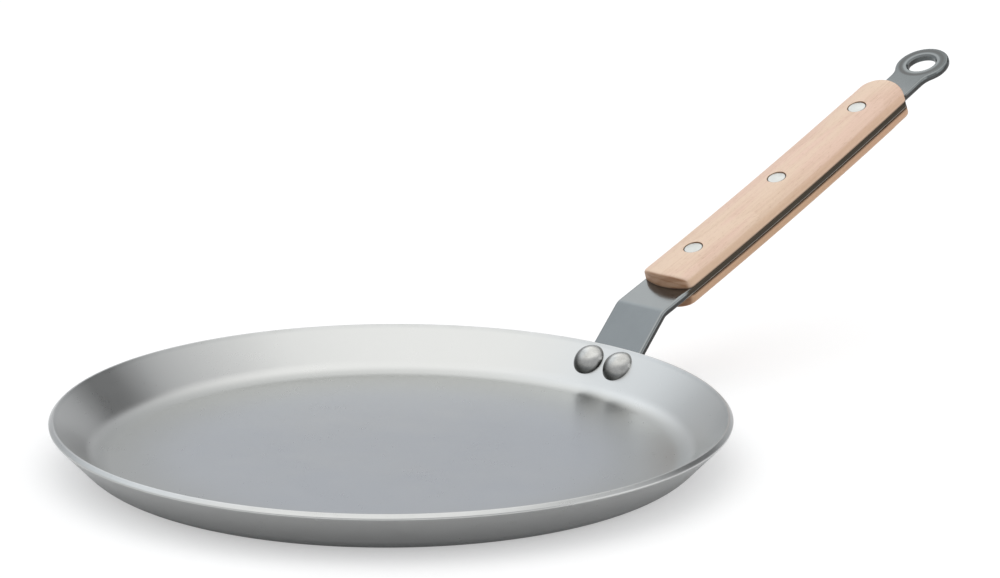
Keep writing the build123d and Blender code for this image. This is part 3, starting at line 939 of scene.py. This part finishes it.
def find_material(name):
    """A material by name, built with all the others the first time that one is asked for."""
    if name not in bpy.data.materials:
        scene = bpy.context.scene
        finishes, pan, grip = scene.crepe_pan_finishes, scene.crepe_pan, scene.crepe_pan_grip
        line = HandleLine(scene)
        groups = {
            "mottling": mottling_group(),
            "grain": rolled_grain_group(),
            "beech": beech_group(),
            "depth": bar_depth_group(line),
        }
        waxed_sheet_steel(finishes, groups, pan)
        coated_bar_steel(finishes, groups, pan, grip, line)
        tumbled_rivet_steel(finishes, groups)
        turned_rivet_metal(finishes, groups)
        wood = finishes, groups, grip, line
        oiled_beech("oiled_beech", *wood, darken=(1.0, 1.0, 1.0), shift_along=0.0)
        # the lower scale gets a darker, warmer copy of the beech: painted shade under the bar
        oiled_beech("oiled_beech_shaded_below", *wood, darken=(0.80, 0.71, 0.62), shift_along=0.2)
    return bpy.data.materials[name]


# Operators


class CREPE_OT_dish(bpy.types.Operator):
    """Turns the pressed steel dish"""

    bl_idname = "crepe_pan.dish"
    bl_label = "Dish"

    def execute(self, context):
        pan = context.scene.crepe_pan
        line = HandleLine(context.scene)
        corner = sin(pan.wall_angle) + cos(pan.wall_angle) - 1
        sizes = {
            "Rim Radius": line.rim.x,
            "Rim Height": line.rim.z,
            "Sheet": pan.sheet,
            "Wall Angle": pan.wall_angle,
            "Base Bend": pan.base_bend,
            "Rim Rounding": line.corner_loss / corner,
            "Segments": pan.segments,
        }
        grow_piece("dish", dish_tree, "waxed_sheet_steel", ["pan_body"], sizes)
        return {"FINISHED"}


class CREPE_OT_bar(bpy.types.Operator):
    """Gives the handle bar its steel"""

    bl_idname = "crepe_pan.bar"
    bl_label = "Handle Bar"

    def execute(self, context):
        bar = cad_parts["handle_bar"]
        bar.data.materials.clear()
        bar.data.materials.append(find_material("coated_bar_steel"))
        return {"FINISHED"}


class CREPE_OT_wall_rivets(bpy.types.Operator):
    """Sets the two domed rivets in the wall"""

    bl_idname = "crepe_pan.wall_rivets"
    bl_label = "Wall Rivets"

    def execute(self, context):
        pan, grip = context.scene.crepe_pan, context.scene.crepe_pan_grip
        line = HandleLine(context.scene)
        bulge = (pan.rivet_pitch / 2) ** 2 * sin(pan.wall_angle) / pan.rim_diameter
        seat = line.rim - line.up_wall * pan.rivet_drop + line.wall_normal * (pan.sheet + bulge)
        sizes = {
            "Count": 2,
            "Pitch": pan.rivet_pitch,
            "Middle": seat,
            "Turn": pan.wall_angle,
            "Head Radius": pan.rivet_head / 2,
            "Crown": pan.rivet_crown,
            "Shank Radius": pan.rivet_shank / 2,
            "Through": pan.sheet + bulge + grip.bar_thickness,
            "Set Radius": pan.set_head / 2,
            "Set Height": pan.set_height,
            "Set Bevel": pan.set_bevel,
        }
        nodes = ["pan_rivet_left", "pan_rivet_right"]
        grow_piece("wall_rivets", wall_rivet_tree, "tumbled_rivet_steel", nodes, sizes)
        return {"FINISHED"}


class CREPE_OT_scales(bpy.types.Operator):
    """Shapes the two wooden scales and cuts the rivets' recesses"""

    bl_idname = "crepe_pan.scales"
    bl_label = "Wooden Scales"

    def execute(self, context):
        grip = context.scene.crepe_pan_grip
        line = HandleLine(context.scene)
        cutter = new_object("recesses", recess_cutters(grip, line))
        for name, node, wood, side in (
            ("scale_above", "upper_scale", "oiled_beech", UPPER),
            ("scale_below", "lower_scale", "oiled_beech_shaded_below", LOWER),
        ):
            piece = new_object(name, grip_scale(grip, line, side))
            piece.data.materials.append(find_material(wood))
            cut = piece.modifiers.new("recesses", "BOOLEAN")
            cut.object = cutter
            cut.solver = "EXACT"
            keep_result(piece)
            finish_piece(piece, [node])
        bpy.data.objects.remove(cutter)
        return {"FINISHED"}


class CREPE_OT_grip_rivets(bpy.types.Operator):
    """Sets the flat rivets in the grip"""

    bl_idname = "crepe_pan.grip_rivets"
    bl_label = "Grip Rivets"

    def execute(self, context):
        grip = context.scene.crepe_pan_grip
        line = HandleLine(context.scene)
        runs = rivet_runs(grip)
        sizes = {
            "Count": grip.rivet_count,
            "First Run": runs[0],
            "Pitch": runs[1] - runs[0],
            "Bend Reach": line.reach,
            "Grip Angle": grip.grip_angle,
            "Bow": grip.grip_bow,
            "Bow Centre": line.bow_centre,
            "Head Radius": grip.rivet_head / 2,
            "Head Depth": grip.rivet_head_depth,
            "Head Rise": grip.scale_thickness - grip.rivet_recess,
            "Bar Thickness": grip.bar_thickness,
            "Body Radius": grip.rivet_body / 2,
            "Edge": grip.rivet_edge,
        }
        halves, places = ("pin", "sleeve"), ("front", "middle", "rear")
        nodes = [f"grip_rivet_{half}_{place}" for half in halves for place in places]
        grow_piece("grip_rivets", grip_rivet_tree, "turned_rivet_metal", nodes, sizes)
        return {"FINISHED"}


class CREPE_OT_stage(bpy.types.Operator):
    """Sets the pale floor, the soft light and the camera"""

    bl_idname = "crepe_pan.stage"
    bl_label = "Stage"

    def execute(self, context):
        scene = context.scene
        stage = scene.crepe_pan_stage
        scene.view_settings.view_transform = "Standard"
        shape = bmesh.new()
        bmesh.ops.create_circle(shape, cap_ends=True, segments=96, radius=FLOOR_RADIUS)
        bmesh.ops.translate(shape, verts=shape.verts, vec=(0, 0, -FLOOR_DROP))
        floor = new_object("floor", shape_to_mesh(shape, "floor"))
        floor.data.materials.append(floor_material(scene.crepe_pan_finishes))
        scene.world = studio_world(stage)
        add_lamp("overhead", (-0.1, 0.05, 1.5), aim=(0.0, 0.0, 0.0), size=1.6, power=stage.lamp_power)
        add_lamp("side", (0.51, -0.79, 0.38), aim=(0.21, 0.0, 0.06), size=0.6, power=stage.side_power)
        scene.camera = new_camera()
        return {"FINISHED"}


def floor_material(finishes):
    """A matt pale floor, a little whiter to the camera, and glowing faintly in reflections."""
    tree, shader = new_material(
        "floor", Roughness=0.9, Specular_IOR_Level=0.1, Emission_Color=(1.0, 1.0, 1.0)
    )
    cloud = noise(object_place(tree), 1.3, 1.0, 0.5)
    tint = mixed(cloud * 0.04, finishes.floor, finishes.floor_cloud)
    seen = add_node(tree, "ShaderNodeLightPath", out="Is Camera Ray")
    feed(shader["Base Color"], mixed(seen, tint, finishes.floor_seen))
    feed(shader["Emission Strength"], seen * 0.45 + seen.beside("Is Glossy Ray") * 0.06)
    return bpy.data.materials["floor"]


def studio_world(stage):
    """White to the camera; for the rest a soft tent of light, brightest above and a little behind.

    Only shiny surfaces see its one dim gap, low behind the handle."""
    world = bpy.data.worlds.new("studio")
    world.use_nodes = True
    tree = world.node_tree
    tree.nodes.clear()
    towards = add_node(tree, "ShaderNodeTexCoord", out="Generated")
    seen = add_node(tree, "ShaderNodeLightPath", out="Is Camera Ray")

    def patch(direction, outer, inner):
        """1 within the inner angle of a direction and 0 beyond the outer one."""
        near = towards.facing(tuple(Vector(direction).normalized()))
        return near.step(cos(radians(outer)), cos(radians(inner)))

    canopy = patch((-0.060, 0.252, 0.966), outer=62, inner=33)
    lobe = patch((0.36, 0.64, 0.68), outer=22, inner=6)
    gap = patch((0.886, -0.025, 0.462), outer=18, inner=5)
    behind = patch((-0.121, 0.820, 0.559), outer=38, inner=12)
    level_here = canopy * (stage.canopy - stage.horizon) + stage.horizon + lobe * stage.lobe
    open_share = gap * -stage.gap * seen.beside("Is Glossy Ray") + 1.0
    tint = mixed(canopy, (0.975, 0.99, 1.015), (1.0, 1.0, 0.995))
    tint = mixed(behind, tint, (0.945, 0.985, 1.03))
    tent = add_node(tree, "ShaderNodeBackground", {"Color": tint, "Strength": level_here * open_share})
    white = add_node(tree, "ShaderNodeBackground", {"Color": (1.0, 1.0, 1.0), "Strength": 1.0})
    plain = calculate("MAXIMUM", seen, seen.beside("Is Transmission Ray"))
    final = add_node(tree, "ShaderNodeMixShader", {0: plain, 1: tent, 2: white})
    feed(tree.nodes.new("ShaderNodeOutputWorld").inputs["Surface"], final)
    return world


def add_lamp(name, place, aim, size, power):
    """A square soft light that faces a point."""
    data = bpy.data.lights.new(name, "AREA")
    data.size, data.energy = size, power
    light = new_object(name, data)
    light.location = place
    light.rotation_euler = (Vector(aim) - Vector(place)).to_track_quat("-Z", "Y").to_euler()


def new_camera():
    """The camera at the photograph's angle, about 1.8 m from the pan's middle."""
    data = bpy.data.cameras.new("camera")
    data.sensor_width, data.lens = 36.0, 184.1
    camera = new_object("camera", data)
    camera.location = (-1.250975, -1.185058, 0.520287)
    forward = Vector((0.71611315, 0.64896529, -0.25695527))
    right = Vector((0.6717274, -0.74079762, 0.00109311))
    up = right.cross(forward)
    camera.rotation_euler = Matrix((right, up, -forward)).transposed().to_euler()
    return camera


GROUPS = {
    "crepe_pan": PanSizes,
    "crepe_pan_grip": GripSizes,
    "crepe_pan_finishes": PanFinishes,
    "crepe_pan_stage": StageSettings,
}
PIECES = (
    CREPE_OT_dish, CREPE_OT_bar, CREPE_OT_wall_rivets, CREPE_OT_scales, CREPE_OT_grip_rivets, CREPE_OT_stage,
)


class CREPE_PT_panel(bpy.types.Panel):
    """Lists the sizes, the finishes and the pieces"""

    bl_idname = "CREPE_PT_panel"
    bl_label = "Crepe Pan"
    bl_space_type = "VIEW_3D"
    bl_region_type = "UI"
    bl_category = "Crepe Pan"

    def draw(self, context):
        for name in GROUPS:
            group = getattr(context.scene, name)
            box = self.layout.box()
            for key in group.bl_rna.properties.keys():
                if key not in ("rna_type", "name"):
                    box.prop(group, key)
        for operator in PIECES:
            self.layout.operator(operator.bl_idname)


CLASSES = (*GROUPS.values(), *PIECES, CREPE_PT_panel)


def register():
    for cls in CLASSES:
        bpy.utils.register_class(cls)
    for name, group in GROUPS.items():
        setattr(bpy.types.Scene, name, PointerProperty(type=group))


def unregister():
    for name in GROUPS:
        delattr(bpy.types.Scene, name)
    for cls in reversed(CLASSES):
        bpy.utils.unregister_class(cls)


def main():
    """Registers the add-on and makes every piece."""
    register()
    bpy.ops.crepe_pan.dish()
    bpy.ops.crepe_pan.bar()
    bpy.ops.crepe_pan.wall_rivets()
    bpy.ops.crepe_pan.scales()
    bpy.ops.crepe_pan.grip_rivets()
    bpy.ops.crepe_pan.stage()


if __name__ == "__main__":
    main()
